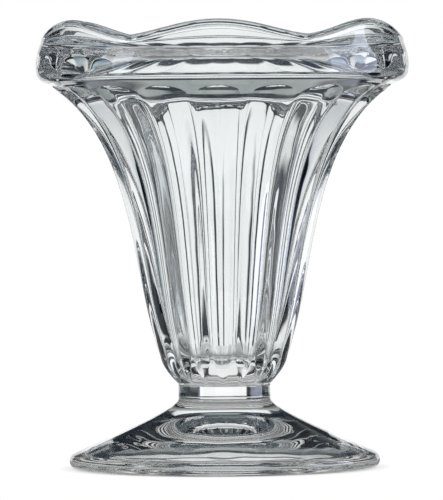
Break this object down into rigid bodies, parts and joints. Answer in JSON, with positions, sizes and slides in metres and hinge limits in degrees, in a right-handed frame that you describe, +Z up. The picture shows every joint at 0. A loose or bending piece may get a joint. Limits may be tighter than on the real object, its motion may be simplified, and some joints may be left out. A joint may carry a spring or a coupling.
{
  "type": "parfait glass",
  "caption": "Footed parfait glass in clear pressed glass: fluted tapering bowl with a flared scalloped rim, short collar and domed round foot.",
  "frame": {"origin": "middle of the foot, on the plane that the glass stands on", "axes": "+Z up along the axis of the glass; one scallop tip faces -Y, towards the picture's viewpoint"},
  "size_m": [0.096, 0.096, 0.1152],
  "materials": {
    "clear_glass": "clear pressed glass, fire-polished"
  },
  "bodies": {
    "root": {"bowl": "clear_glass", "collar": "clear_glass", "foot": "clear_glass"}
  },
  "joints": []
}
